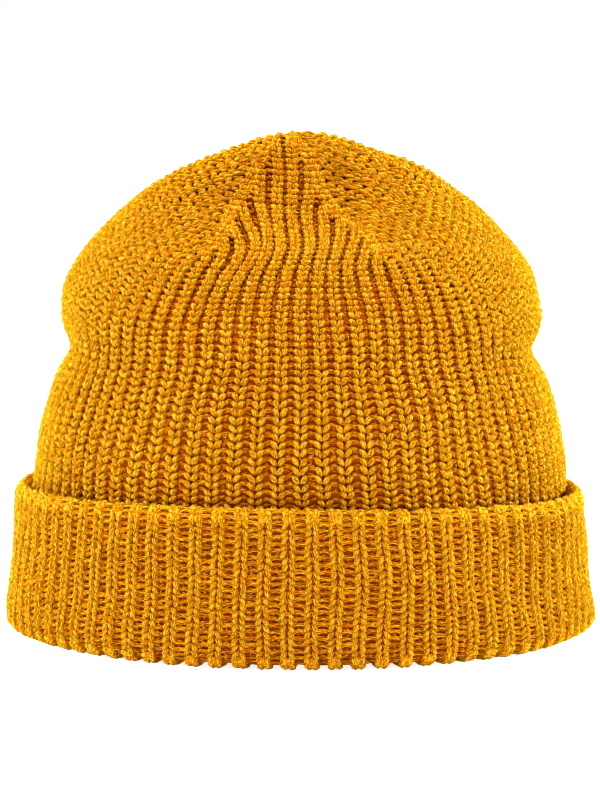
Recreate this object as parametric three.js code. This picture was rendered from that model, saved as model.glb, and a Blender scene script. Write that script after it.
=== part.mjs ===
// A ribbed wool beanie, standing on its turned-up cuff as it would on a table.
// Millimetres, +Z up, +X to the wearer's left, and the front of the hat faces -Y.
// The origin is on the surface that the hat stands on, under its middle.
// A course is one row of knitting round the hat. A rib is one knit wale and the purl wale beside it.
import * as THREE from "three";

// Driving dimensions
const RIBS = 80;                  // ribs round the hat at the rim
const PANEL_RIBS = 13;            // ribs across the front panel, and across the back one, under the darts
const WALL = 3.4;                 // thickness of the ribbed knit
const RIB_RELIEF = 1.1;           // a purl valley lies this much below the knit crest beside it
const DEPTH_EXTRA = 6;            // the rim is a slight oval: half its depth is this much over half its width
const GAP = 0.35;                 // clearance between the crown and the cuff

const DART_COURSE = 31;           // course where the four darts start to take ribs away
const TOP_COURSE = 51;            // last full course, gathered under the tip
const DART_TOP_REACH = 5.4;       // distance along that course from the panel's middle to its dart
const PANEL_SHIFT_RIBS = -1;      // the panels sit one rib round from the exact front and back
const WALE_END_SHARE = 0.4;       // a wale nearer to a dart than this share of its width ends there
const SIDE_RISE_POWER = 2.4;      // how late a course climbs on its way from the front to the side
const TIP_HEIGHT = 160.0;         // top of the gathered tip
const CAVITY_HEIGHT = 148;        // top of the hollow, under the gathered knit

const CREASE_COURSE = 14.6;       // the crown folds in under each side bulge at this course
const CREASE_DEPTH = 3.4;
const CREASE_SPREAD = 2.3;        // half height of that crease, in courses
const CREASE_REACH_POWER = 10;    // how quickly it fades round to the front and back

const CUFF_CREST_SIDE = 45.5;     // height of the cuff's rolled top edge at the sides
const CUFF_CREST_FRONT = 48.8;    // and at the front and back
const CUFF_FOOT = 3.0;            // thickness of the fold that runs under the crown's lower edge
const FOOT_INSET = 1.1;           // the flat ring starts this far outside the crown's inner face
const FOOT_BULGE = 0.5;           // the fold swells this far past the crown's inner face
const FOOT_CORNER = 2;            // height of the slope from the foot up to the cuff's inner face
const ROLL_LIP = 2.5;             // depth of the rolled edge's lip, down inside the cuff

const WOOL_COLOR = 0xe09a0a;
const CUFF_COLOR = 0xe8a510;

// The crown's courses, from the edge inside the cuff to the gathered tip
const CROWN_COURSES = [
  { course: -19.6, halfWidth: 88.2, sideHeight: 3.35, halfDepth: 94.2, frontHeight: 3.35 },
  { course: -4.5, halfWidth: 86.7, sideHeight: 44.0, halfDepth: 92.7, frontHeight: 44.0 },
  { course: 0, halfWidth: 85.6, sideHeight: 54.7, halfDepth: 91.9, frontHeight: 54.5 },
  { course: 4, halfWidth: 84.0, sideHeight: 64.4, halfDepth: 89.9, frontHeight: 64.7 },
  { course: 8, halfWidth: 81.6, sideHeight: 73.8, halfDepth: 86.4, frontHeight: 74.3 },
  { course: 12, halfWidth: 78.9, sideHeight: 83.2, halfDepth: 81.8, frontHeight: 83.9 },
  { course: 16, halfWidth: 77.7, sideHeight: 92.8, halfDepth: 76.3, frontHeight: 92.9 },
  { course: 20, halfWidth: 77.7, sideHeight: 102.1, halfDepth: 69.8, frontHeight: 101.0 },
  { course: 24, halfWidth: 76.0, sideHeight: 111.6, halfDepth: 62.7, frontHeight: 108.6 },
  { course: 28, halfWidth: 71.3, sideHeight: 120.1, halfDepth: 54.9, frontHeight: 115.7 },
  { course: 32, halfWidth: 64.9, sideHeight: 127.8, halfDepth: 46.4, frontHeight: 121.7 },
  { course: 36, halfWidth: 57.7, sideHeight: 134.8, halfDepth: 37.5, frontHeight: 126.7 },
  { course: 40, halfWidth: 49.8, sideHeight: 140.9, halfDepth: 28.4, frontHeight: 131.9 },
  { course: 44, halfWidth: 41.0, sideHeight: 146.3, halfDepth: 20.4, frontHeight: 138.0 },
  { course: 47, halfWidth: 31.8, sideHeight: 150.7, halfDepth: 15.0, frontHeight: 144.2 },
  { course: 51, halfWidth: 17.0, sideHeight: 156.2, halfDepth: 8.8, frontHeight: 153.8 },
];

// Courses where the crown's faces turn, outside and inside
const OUTER_COURSES = [-4.5, 0, 5, 9.5, 12.6, 14.6, 16.8, 20, 24, 28, 31, 35, 39, 43, 46, 48.7, 51];
const INNER_COURSES = [47, 43, 38, 33, 28, 23, 18, 14.6, 10, 4, -4.5];

// The cuff's outer face, from the flat ring up to the rolled top edge and over it.
// A rise of 0 is the surface below the hat, and 1 is the crest.
const CUFF_FACE = [
  { halfWidth: 91.2, rise: 0 },
  { halfWidth: 93.9, rise: 0.022 },
  { halfWidth: 95.2, rise: 0.075 },
  { halfWidth: 95.4, rise: 0.155 },
  { halfWidth: 94.0, rise: 0.42 },
  { halfWidth: 92.9, rise: 0.72 },
  { halfWidth: 92.2, rise: 0.9 },
  { halfWidth: 90.9, rise: 0.975 },
  { halfWidth: 89.3, rise: 1 },
  { halfWidth: 88.1, rise: 0.965 },
];

const FULL_TURN = 2 * Math.PI;
const RING_SAMPLES = 720;
const INNER_POINTS = RIBS;

// A value between the rows of a table, on a smooth curve through them
function readTable(table, key, column, at) {
  let row = 0;
  while (row < table.length - 2 && at > table[row + 1][key]) row += 1;
  const low = table[row];
  const high = table[row + 1];
  const span = high[key] - low[key];
  const t = (at - low[key]) / span;
  const slopeAt = (index) => {
    const before = table[Math.max(index - 1, 0)];
    const after = table[Math.min(index + 1, table.length - 1)];
    return (after[column] - before[column]) / (after[key] - before[key]);
  };
  const t2 = t * t;
  const t3 = t2 * t;
  return (2 * t3 - 3 * t2 + 1) * low[column]
    + (t3 - 2 * t2 + t) * span * slopeAt(row)
    + (-2 * t3 + 3 * t2) * high[column]
    + (t3 - t2) * span * slopeAt(row + 1);
}

// A point on the crown's outer face. The turn is 0 at the front and a quarter at +X.
function crownPoint(course, turn) {
  const sideways = Math.sin(turn * FULL_TURN);
  const forward = Math.cos(turn * FULL_TURN);
  const fromCrease = (course - CREASE_COURSE) / CREASE_SPREAD;
  const crease = CREASE_DEPTH * Math.exp(-fromCrease * fromCrease) * Math.abs(sideways) ** CREASE_REACH_POWER;
  const halfWidth = readTable(CROWN_COURSES, "course", "halfWidth", course) - crease;
  const halfDepth = readTable(CROWN_COURSES, "course", "halfDepth", course);
  const sideHeight = readTable(CROWN_COURSES, "course", "sideHeight", course);
  const frontHeight = readTable(CROWN_COURSES, "course", "frontHeight", course);
  const climb = Math.abs(sideways) ** SIDE_RISE_POWER;
  return new THREE.Vector3(
    halfWidth * sideways,
    -halfDepth * forward,
    frontHeight + (sideHeight - frontHeight) * climb,
  );
}

// The direction that the crown's outer face looks in
function crownNormal(course, turn) {
  const courseStep = 0.2;
  const turnStep = 1e-4;
  const up = crownPoint(course + courseStep, turn).sub(crownPoint(course - courseStep, turn));
  const around = crownPoint(course, turn + turnStep).sub(crownPoint(course, turn - turnStep));
  return around.cross(up).normalize();
}

// Lengths along one course, for finding the turn at a distance from the front
function measureCourse(course) {
  const lengths = [0];
  for (let i = 1; i <= RING_SAMPLES; i += 1) {
    const step = crownPoint(course, i / RING_SAMPLES).distanceTo(crownPoint(course, (i - 1) / RING_SAMPLES));
    lengths.push(lengths[i - 1] + step);
  }
  return lengths;
}

function turnAtDistance(lengths, distance) {
  const total = lengths[RING_SAMPLES];
  const wanted = ((distance % total) + total) % total;
  let i = 1;
  while (lengths[i] < wanted) i += 1;
  const part = (wanted - lengths[i - 1]) / (lengths[i] - lengths[i - 1]);
  return (i - 1 + part) / RING_SAMPLES;
}

// The knit crests and purl valleys on one course, as turns with their depth below the crest.
// Up to the darts all ribs share the course. Above them the ribs keep their width, and those
// that reach a dart end there.
function waleTurns(course) {
  const lengths = measureCourse(course);
  const quarter = lengths[RING_SAMPLES] / 4;
  const ribWidth = measureCourse(Math.min(course, DART_COURSE))[RING_SAMPLES] / RIBS;
  const waleWidth = ribWidth / 2;
  const fullReach = PANEL_RIBS * waleWidth;
  const dartShare = Math.max(0, (course - DART_COURSE) / (TOP_COURSE - DART_COURSE));
  const dartReach = THREE.MathUtils.lerp(fullReach, DART_TOP_REACH, dartShare);
  const wales = [];
  for (let panel = 0; panel < 4; panel += 1) {
    const middle = panel * quarter + PANEL_SHIFT_RIBS * ribWidth;
    const facesFrontOrBack = panel % 2 === 0;
    const reach = facesFrontOrBack ? dartReach : quarter - dartReach;
    const last = Math.floor(reach / waleWidth - WALE_END_SHARE);
    for (let wale = -last; wale <= last; wale += 1) {
      const depth = wale % 2 === 0 ? 0 : RIB_RELIEF;
      wales.push({ turn: turnAtDistance(lengths, middle + wale * waleWidth), depth });
    }
    if (facesFrontOrBack) {
      wales.push({ turn: turnAtDistance(lengths, middle - reach), depth: RIB_RELIEF });
      wales.push({ turn: turnAtDistance(lengths, middle + reach), depth: RIB_RELIEF });
    }
  }
  return wales.sort((a, b) => a.turn - b.turn);
}

// A ring is a list of points in order of their turn, each with that turn
function outerRing(course) {
  return waleTurns(course).map(({ turn, depth }) => ({
    turn,
    point: crownPoint(course, turn).addScaledVector(crownNormal(course, turn), -depth),
  }));
}

function evenRing(pointAt) {
  const ring = [];
  for (let i = 0; i < INNER_POINTS; i += 1) {
    ring.push({ turn: i / INNER_POINTS, point: pointAt(i / INNER_POINTS) });
  }
  return ring;
}

function innerRing(course) {
  return evenRing((turn) => crownPoint(course, turn).addScaledVector(crownNormal(course, turn), -WALL));
}

// Joins a row of rings into one skin. Neighbouring rings may have different numbers of points:
// the band between them always takes the next point round from whichever ring is behind.
function skinRings(rings, poles, closed) {
  const positions = [];
  const starts = rings.map((ring) => {
    const start = positions.length / 3;
    ring.forEach(({ point }) => positions.push(point.x, point.y, point.z));
    return start;
  });
  const faces = [];
  const bands = closed ? rings.length : rings.length - 1;
  for (let band = 0; band < bands; band += 1) {
    const next = (band + 1) % rings.length;
    const lower = rings[band];
    const upper = rings[next];
    let i = 0;
    let j = 0;
    while (i < lower.length || j < upper.length) {
      const lowerNext = i < lower.length ? turnAfter(lower, i) : Infinity;
      const upperNext = j < upper.length ? turnAfter(upper, j) : Infinity;
      const a = starts[band] + i % lower.length;
      const b = starts[next] + j % upper.length;
      if (lowerNext <= upperNext) {
        i += 1;
        faces.push(a, starts[band] + i % lower.length, b);
      } else {
        j += 1;
        faces.push(a, starts[next] + j % upper.length, b);
      }
    }
  }
  poles.forEach(({ ring, point, above }) => {
    const tip = positions.length / 3;
    positions.push(point.x, point.y, point.z);
    const count = rings[ring].length;
    for (let i = 0; i < count; i += 1) {
      const here = starts[ring] + i;
      const there = starts[ring] + (i + 1) % count;
      if (above) faces.push(here, there, tip);
      else faces.push(there, here, tip);
    }
  });
  const geometry = new THREE.BufferGeometry();
  geometry.setAttribute("position", new THREE.Float32BufferAttribute(positions, 3));
  geometry.setIndex(faces);
  geometry.computeVertexNormals();
  return geometry;
}

function turnAfter(ring, index) {
  return index + 1 < ring.length ? ring[index + 1].turn : 1 + ring[0].turn;
}

// Crown: one hollow wall, from the top of its hollow down the inside, round the hidden
// lower edge and up the ribbed outside to the gathered tip
function makeCrown() {
  const lowestCourse = CROWN_COURSES[0].course;
  const rings = [
    ...INNER_COURSES.map(innerRing),
    innerRing(lowestCourse),
    evenRing((turn) => crownPoint(lowestCourse, turn)),
    ...OUTER_COURSES.map(outerRing),
  ];
  const poles = [
    { ring: 0, point: new THREE.Vector3(0, 0, CAVITY_HEIGHT), above: false },
    { ring: rings.length - 1, point: new THREE.Vector3(0, 0, TIP_HEIGHT), above: true },
  ];
  const material = new THREE.MeshStandardMaterial({ color: WOOL_COLOR, roughness: 0.95, metalness: 0 });
  const crown = new THREE.Mesh(skinRings(rings, poles, false), material);
  crown.name = "crown";
  return crown;
}

// A point on the cuff's faces, from half its width and its share of the crest's height
function cuffPoint(halfWidth, rise, turn) {
  const sideways = Math.sin(turn * FULL_TURN);
  const forward = Math.cos(turn * FULL_TURN);
  const crest = THREE.MathUtils.lerp(CUFF_CREST_FRONT, CUFF_CREST_SIDE, sideways * sideways);
  return new THREE.Vector3(halfWidth * sideways, -(halfWidth + DEPTH_EXTRA) * forward, rise * crest);
}

// The cuff is the same knit turned over, so a rib's crest lies where the crown has its valley
function cuffRibRing({ halfWidth, rise }) {
  const ring = [];
  for (let wale = 0; wale < 2 * RIBS; wale += 1) {
    const turn = wale / (2 * RIBS);
    const depth = rise > 0 && wale % 2 === 0 ? RIB_RELIEF : 0;
    ring.push({ turn, point: cuffPoint(halfWidth - depth, rise, turn) });
  }
  return ring;
}

// Rings that follow the crown's hidden wall inside the cuff, offset outwards or inwards
function besideCrown(course, offset, height) {
  return evenRing((turn) => {
    const point = crownPoint(course, turn);
    const outwards = new THREE.Vector3(point.x, point.y, 0).normalize();
    point.addScaledVector(outwards, offset);
    point.z = height;
    return point;
  });
}

// Cuff: the doubled turn-up. Its outer face rises from the flat ring to the rolled edge, its inner
// face goes down beside the crown, and its foot passes under the crown's lower edge.
function makeCuff() {
  const edge = CROWN_COURSES[0];
  const hidden = CROWN_COURSES[1];
  const rings = [
    ...CUFF_FACE.map(cuffRibRing),
    besideCrown(hidden.course, GAP, hidden.sideHeight - ROLL_LIP),
    besideCrown(edge.course, GAP, CUFF_FOOT + FOOT_CORNER),
    besideCrown(edge.course, 0, CUFF_FOOT),
    besideCrown(edge.course, -WALL, CUFF_FOOT),
    besideCrown(edge.course, -WALL - FOOT_BULGE, CUFF_FOOT / 2),
    besideCrown(edge.course, -WALL + FOOT_INSET, 0),
  ];
  const material = new THREE.MeshStandardMaterial({ color: CUFF_COLOR, roughness: 0.95, metalness: 0 });
  const cuff = new THREE.Mesh(skinRings(rings, [], true), material);
  cuff.name = "cuff";
  return cuff;
}

const beanie = new THREE.Group();
beanie.add(makeCrown(), makeCuff());

export default beanie;
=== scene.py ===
# %% [markdown]
# A ribbed wool beanie, knitted stitch by stitch in Blender.
# The imported model is the fixed frame: it gives the hat's true size and place. It is loaded first.

# %% Load the frame
import math

import bpy
import numpy as np
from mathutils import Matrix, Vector


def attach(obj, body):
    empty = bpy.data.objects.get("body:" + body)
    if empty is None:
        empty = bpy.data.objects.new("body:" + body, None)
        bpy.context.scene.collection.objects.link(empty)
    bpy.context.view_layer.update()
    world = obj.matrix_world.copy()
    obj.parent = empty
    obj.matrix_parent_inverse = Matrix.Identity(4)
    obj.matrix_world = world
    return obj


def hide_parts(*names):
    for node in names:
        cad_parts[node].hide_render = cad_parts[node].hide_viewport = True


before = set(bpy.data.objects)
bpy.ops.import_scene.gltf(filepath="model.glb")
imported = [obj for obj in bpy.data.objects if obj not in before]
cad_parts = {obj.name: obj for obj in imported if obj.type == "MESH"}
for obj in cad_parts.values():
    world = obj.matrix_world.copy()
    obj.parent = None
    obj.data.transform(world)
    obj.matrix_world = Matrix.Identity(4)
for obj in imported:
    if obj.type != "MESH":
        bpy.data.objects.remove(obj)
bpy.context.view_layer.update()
MM = 0.001

# %% [markdown]
# The hat is seen straight from the front and from a little above its rim, through a long lens, so that
# its ribs stay nearly parallel. A lens could be picked by eye. It is worked out instead from the scale
# at the hat's middle, that many millimetres to one pixel of a frame 800 pixels high, because then the
# size in the picture is right at once. The camera aims at a point near the hat's axis.

# %% Camera
CAMERA_DISTANCE = 1250 * MM
CAMERA_HEIGHT = 194 * MM
AIM_HEIGHT = 72.3 * MM
AIM_SIDE = -0.2 * MM
MM_PER_PIXEL = 0.323
CAMERA_ROLL = math.radians(0.2)
PIXEL_BLUR = 0.85
FRAME_HEIGHT_PX = 800
SENSOR_MM = 36.0
FARTHEST_SEEN = 20


def face_point(thing, aim):
    """Turns a camera or a light so that it looks at a point."""
    thing.rotation_euler = (Vector(aim) - thing.location).to_track_quat("-Z", "Y").to_euler()


bpy.ops.object.select_all(action="DESELECT")
bpy.ops.object.camera_add(location=(AIM_SIDE, -CAMERA_DISTANCE, CAMERA_HEIGHT))
camera = bpy.context.object
camera.name = "camera"
face_point(camera, (AIM_SIDE, 0, AIM_HEIGHT))
camera.rotation_euler.rotate_axis("Z", CAMERA_ROLL)
camera.data.sensor_width = SENSOR_MM
camera.data.lens = SENSOR_MM * CAMERA_DISTANCE / MM / MM_PER_PIXEL / FRAME_HEIGHT_PX
camera.data.clip_end = FARTHEST_SEEN
bpy.context.scene.camera = camera
bpy.context.scene.cycles.filter_width = PIXEL_BLUR
print("lens", round(camera.data.lens, 1), "mm")

# %% [markdown]
# A studio shot on white: two soft lights stand at the sides, a little behind the hat, and a broad one
# hangs above it, a little in front. So the sides and the top are bright, and the middle of the front
# is a shade darker. The side lights lean to yellow, and the air is warm, so that the shadows in the
# wool stay brown. A white room could light the hat as well, but it would fill every shadow between the
# stitches. So the camera sees a white backdrop and floor, while both give only a little light.

# %% The air
WHITE = (1, 1, 1, 1)
AIR_COLOR = (0.82, 0.57, 0.42, 1)

world = bpy.data.worlds.new("studio_air")
world.use_nodes = True
seen = world.node_tree.nodes.new("ShaderNodeLightPath")
air = world.node_tree.nodes.new("ShaderNodeMixRGB")
air.inputs["Color1"].default_value = AIR_COLOR
air.inputs["Color2"].default_value = WHITE
world.node_tree.links.new(seen.outputs["Is Camera Ray"], air.inputs["Fac"])
world.node_tree.links.new(air.outputs["Color"], world.node_tree.nodes["Background"].inputs["Color"])
bpy.context.scene.world = world
bpy.context.scene.view_settings.view_transform = "Standard"
bpy.context.scene.view_settings.look = "Medium Contrast"
print("look:", bpy.context.scene.view_settings.look)

# %% The floor
FLOOR_SIZE = 12
FLOOR_FINISH = {"Base Color": (0.95, 0.95, 0.95, 1), "Roughness": 0.9, "Emission Color": WHITE}
FLOOR_GLOW_SEEN = 0.85
FLOOR_GLOW_GIVEN = 0.15


def new_material(name, finish):
    """A material with its node tree and its shader, whose own sockets take the finish."""
    material = bpy.data.materials.new(name)
    material.use_nodes = True
    shader = material.node_tree.nodes["Principled BSDF"]
    for socket_name, value in finish.items():
        shader.inputs[socket_name].default_value = value
    return material, material.node_tree, shader


bpy.ops.object.select_all(action="DESELECT")
bpy.ops.mesh.primitive_plane_add(size=FLOOR_SIZE, location=(0, 0, 0))
floor = bpy.context.object
floor.name = "floor"
floor_material, floor_tree, floor_shader = new_material("floor_white", FLOOR_FINISH)
floor_seen = floor_tree.nodes.new("ShaderNodeLightPath")
floor_glow = floor_tree.nodes.new("ShaderNodeMix")
floor_glow.inputs["A"].default_value = FLOOR_GLOW_GIVEN
floor_glow.inputs["B"].default_value = FLOOR_GLOW_SEEN
floor_tree.links.new(floor_seen.outputs["Is Camera Ray"], floor_glow.inputs["Factor"])
floor_tree.links.new(floor_glow.outputs["Result"], floor_shader.inputs["Emission Strength"])
floor.data.materials.append(floor_material)
print("floor:", FLOOR_SIZE, "m wide")

# %% The lights
HAT_MIDDLE = (0, 0, 0.08)
TOP_COLOR = (1.0, 0.89, 0.8)
SIDE_COLOR = (0.66, 1.0, 0.42)
# Name, place in metres, size, watts and colour
LIGHTS = (
    ("above", (0, -0.25, 1.15), 0.7, 14.0, TOP_COLOR),
    ("side_left", (-1.0, 0.3, 0.5), 0.6, 24, SIDE_COLOR),
    ("side_right", (1.0, 0.3, 0.5), 0.6, 24, SIDE_COLOR),
)


def soft_light(name, place, size, watts, color):
    """A square area light that faces the middle of the hat."""
    bpy.ops.object.select_all(action="DESELECT")
    bpy.ops.object.light_add(type="AREA", location=place)
    light = bpy.context.object
    light.name = name
    light.data.size = size
    light.data.energy = watts
    light.data.color = color
    face_point(light, HAT_MIDDLE)


for light_row in LIGHTS:
    soft_light(*light_row)

# %% [markdown]
# The hat's surface is a stack of courses, the rows of knitting. Each is an oval ring with its own half
# width and half depth, and it lies higher at the sides than at the front, because the sides stand up
# as soft bulges. It could be sculpted, but a short table of ovals is easier to correct, and the solids
# were made from the same one. The last rows gather the tip, which is a little fuller on the +X side.
# Knitting is never quite even, so a few gentle waves push the surface in and out, and later the
# stitches sideways and up and down.

# %% Gentle waves
KNIT_SEED = 7
WAVE_COUNT = 9
WAVE_ROUNDS = (-11, 12)
WAVE_LENGTHS = (9, 32)
random = np.random.default_rng(KNIT_SEED)


def make_waves():
    """Waves round and up the hat, each a whole number of times round."""
    rounds = random.integers(*WAVE_ROUNDS, WAVE_COUNT)
    lengths = random.uniform(*WAVE_LENGTHS, WAVE_COUNT)
    phases = random.uniform(0, 2 * np.pi, WAVE_COUNT)
    return list(zip(rounds, lengths, phases))


def hill(value, middle, spread):
    """A share that is 1 at a middle value and falls off smoothly to both sides of it."""
    return np.exp(-(((value - middle) / spread) ** 2))


def sway(waves, turn, course):
    """How far the waves together push at a place, about 1 at most."""
    heights = [
        np.sin(2 * np.pi * (rounds * turn + course / length) + phase) for rounds, length, phase in waves
    ]
    return sum(heights) / math.sqrt(len(waves))


print("waves in each set:", WAVE_COUNT)

# %% The crown's courses
RIBS = 80
PANEL_RIBS = 13
PANEL_SHIFT_RIBS = -1
DART_COURSE = 31
TOP_COURSE = 51
DART_TOP_REACH = 6.6
SIDE_RISE_POWER = 2.4
CREASE_COURSE = 14.6
CREASE_DEPTH = 3.4
CREASE_SPREAD = 2.3
CREASE_REACH_POWER = 10

CROWN_COLUMNS = ("course", "half_width", "side_height", "half_depth", "front_height")
CROWN_ROWS = (
    (-19.6, 88.2, 3.35, 94.2, 3.35),
    (-4.5, 86.7, 44.0, 92.7, 44.0),
    (0, 85.6, 54.7, 91.9, 54.5),
    (4, 84.0, 64.4, 89.9, 64.7),
    (8, 81.6, 73.8, 86.4, 74.3),
    (12, 78.9, 83.2, 81.8, 83.9),
    (16, 77.7, 92.8, 76.3, 92.9),
    (20, 77.7, 102.1, 69.8, 101.0),
    (24, 76.0, 111.6, 62.7, 108.6),
    (28, 71.3, 120.1, 54.9, 115.7),
    (32, 64.9, 127.8, 46.4, 121.7),
    (36, 57.7, 134.8, 37.5, 126.7),
    (40, 49.8, 140.9, 28.4, 131.9),
    (44, 41.0, 146.3, 20.4, 138.0),
    (47, 31.8, 150.7, 15.0, 144.2),
    (51, 17.0, 156.2, 8.8, 153.8),
    (53, 9.2, 158.5, 5.2, 157.2),
    (54.5, 2.5, 159.6, 1.6, 159.2),
)
crown_table = dict(zip(CROWN_COLUMNS, np.array(CROWN_ROWS, float).T))


def read_table(table, column, at):
    """Values of a column at any course, on a smooth curve through the table's rows."""
    x, y = table["course"], table[column]
    slope = np.gradient(y, x)
    slope[1:-1] = (y[2:] - y[:-2]) / (x[2:] - x[:-2])
    row = np.clip(np.searchsorted(x, at, side="left") - 1, 0, len(x) - 2)
    span = x[row + 1] - x[row]
    t = (at - x[row]) / span
    return (
        (2 * t**3 - 3 * t**2 + 1) * y[row]
        + (t**3 - 2 * t**2 + t) * span * slope[row]
        + (3 * t**2 - 2 * t**3) * y[row + 1]
        + (t**3 - t**2) * span * slope[row + 1]
    )


SWAY_OUTWARD = 0.35
TIP_WIDTH = 25
FULL_SIDE = 2.0
FULL_SIDE_COURSE = 46
FULL_SIDE_SPREAD = 4
crown_waves = make_waves()


def crown_point(course, turn):
    """Points of the crown's outer face, in mm. The turn is 0 at the front and a quarter at +X."""
    course, turn = np.broadcast_arrays(np.asarray(course, float), np.asarray(turn, float))
    sideways = np.sin(2 * np.pi * turn)
    forward = np.cos(2 * np.pi * turn)
    crease = CREASE_DEPTH * hill(course, CREASE_COURSE, CREASE_SPREAD)
    crease = crease * np.abs(sideways) ** CREASE_REACH_POWER
    half_width = read_table(crown_table, "half_width", course)
    bulge = SWAY_OUTWARD * sway(crown_waves, turn, course) * np.clip(half_width / TIP_WIDTH, 0, 1)
    fuller = FULL_SIDE * hill(course, FULL_SIDE_COURSE, FULL_SIDE_SPREAD) * np.maximum(0, sideways)
    half_width = half_width - crease + fuller + bulge
    half_depth = read_table(crown_table, "half_depth", course) + bulge
    side_height = read_table(crown_table, "side_height", course)
    front_height = read_table(crown_table, "front_height", course)
    height = front_height + (side_height - front_height) * np.abs(sideways) ** SIDE_RISE_POWER
    return np.stack([half_width * sideways, -half_depth * forward, height], -1)


def unit(vectors):
    """The same directions, with length 1."""
    return vectors / np.maximum(np.linalg.norm(vectors, axis=-1, keepdims=True), 1e-9)


print("crown height at its side courses:", crown_table["side_height"].tolist())

# %% [markdown]
# Wales are the columns of stitches. Up to the shoulder all wales share each course evenly. Above it
# four darts take wales away: the ribs keep their width, and each ends where it meets a dart. Just
# before its end a rib of the front or the back is drawn inwards a little, and then turns out to meet
# the dart. The whole ring drifts to one side there as well. The darts turn back above, while the ribs
# hold their place. Each rib could be drawn by hand, but 160 wales are surer when they are worked out
# course by course.

# %% List of the crown's wales
RING_SAMPLES = 720
ring_turns = np.linspace(0, 1, RING_SAMPLES + 1)


def ring_lengths(course):
    """Lengths along one course, from the front to each of the ring's samples."""
    steps = np.linalg.norm(np.diff(crown_point(course, ring_turns), axis=0), axis=1)
    return np.concatenate([[0], np.cumsum(steps)])


def list_wales():
    """Each wale's panel, its number from the panel's middle, and its kind."""
    wales = []
    for panel in range(4):
        front_or_back = panel % 2 == 0
        last = PANEL_RIBS - 1 if front_or_back else RIBS // 2 - PANEL_RIBS - 1
        for number in range(-last, last + 1):
            wales.append((panel, number, "knit" if number % 2 == 0 else "purl"))
        if front_or_back:
            wales.append((panel, -PANEL_RIBS, "dart"))
            wales.append((panel, PANEL_RIBS, "dart"))
    return wales


crown_wales = list_wales()
print("wales:", len(crown_wales))

# %% Places of the crown's wales
LEVEL_STEP = 0.5
FIRST_LEVEL = -7.0
LAST_LEVEL = 54.5
BEND_BEFORE_END = 8
BEND_SPREAD = 6
BEND_PULL = 1.2
WEAK_SIDE_SHARE = 0.4
DRIFT = 2.6
DRIFT_COURSE = 35.5
DRIFT_SPREAD = 5
TOP_RIB_SPREAD = 1.22
TOP_SPREAD_COURSES = (DART_COURSE + 3, DART_COURSE + 13)
TIP_REACH_SHARE = 0.3
WALE_END_SHARE = 0.4

crown_levels = np.arange(FIRST_LEVEL, LAST_LEVEL + LEVEL_STEP / 2, LEVEL_STEP)
wale_turn = np.zeros((len(crown_levels), len(crown_wales)))
wale_room = np.zeros(wale_turn.shape)
rib_width = np.zeros(len(crown_levels))
perimeter = np.zeros(len(crown_levels))
for i, level in enumerate(crown_levels):
    lengths = ring_lengths(level)
    perimeter[i] = lengths[-1]
    quarter = lengths[-1] / 4
    even_width = ring_lengths(min(level, DART_COURSE))[-1] / RIBS
    rib_width[i] = even_width * np.interp(level, TOP_SPREAD_COURSES, (1, TOP_RIB_SPREAD))
    wale_width = rib_width[i] / 2
    full_reach = PANEL_RIBS * even_width / 2
    dart_share = max(0, (level - DART_COURSE) / (TOP_COURSE - DART_COURSE))
    dart_reach = full_reach + (DART_TOP_REACH - full_reach) * dart_share
    if level > TOP_COURSE:
        dart_reach = max(TIP_REACH_SHARE * quarter, dart_reach)
    drift = DRIFT * hill(level, DRIFT_COURSE, DRIFT_SPREAD)
    turned = PANEL_SHIFT_RIBS * rib_width[i] + drift
    held = DRIFT - drift if level > DRIFT_COURSE else 0
    for w, (panel, number, kind) in enumerate(crown_wales):
        reach = dart_reach if panel % 2 == 0 else quarter - dart_reach
        place = number * wale_width + (held if panel % 2 == 0 and kind != "dart" else 0)
        offset = float(np.clip(place, -reach, reach))
        distance = panel * quarter + turned + offset
        wale_turn[i, w] = np.interp(distance % lengths[-1], lengths, ring_turns)
        wale_room[i, w] = 1 if kind == "dart" else (reach - abs(place)) / wale_width
wale_alive = wale_room >= WALE_END_SHARE

for w, (panel, number, kind) in enumerate(crown_wales):
    if panel % 2 == 1 or kind == "dart":
        continue
    to_end = crown_levels[wale_alive[:, w]].max() - crown_levels
    share = math.sin(math.pi * number / (PANEL_RIBS + 1))
    pull = BEND_PULL * share * hill(to_end, BEND_BEFORE_END, BEND_SPREAD)
    wale_turn[:, w] -= pull * (1 if number < 0 else WEAK_SIDE_SHARE) / perimeter

print("rib width in mm from", rib_width.max().round(2), "to", rib_width.min().round(2))

# %% [markdown]
# Every wale is sampled at half courses, with the surface's own directions there, so that any stitch
# can be laid on it. The surface could be worked out anew for every corner of every stitch, but reading
# it from a grid is far quicker. The waves that push the stitches about are worked into the grid as
# well.

# %% Grids for laying stitches
SWAY_ACROSS = 0.35
SWAY_ALONG = 0.14
TURN_STEP = 1e-4


def directions(surface, course, turn):
    """The surface's directions across the wales and outwards."""
    across = unit(surface(course, turn + TURN_STEP) - surface(course, turn - TURN_STEP))
    along = surface(course + TURN_STEP, turn) - surface(course - TURN_STEP, turn)
    return across, unit(np.cross(across, along))


def make_grid(levels, turns, surface, course_height):
    """Points and directions of a surface at each level of each wale."""
    course = levels[:, None] + 0 * turns
    across, outward = directions(surface, course, turns)
    shift = SWAY_ALONG * sway(make_waves(), turns, course)
    point = surface(np.clip(course + shift, levels[0], levels[-1]), turns)
    point = point + across * SWAY_ACROSS * sway(make_waves(), turns, course)[..., None]
    return {
        "levels": levels,
        "point": point,
        "across": across,
        "outward": outward,
        "course_height": course_height,
    }


CROWN_COURSE_HEIGHT = 2.6
crown_grid = make_grid(crown_levels, wale_turn, crown_point, CROWN_COURSE_HEIGHT)
print("crown grid:", crown_grid["point"].shape)

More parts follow.
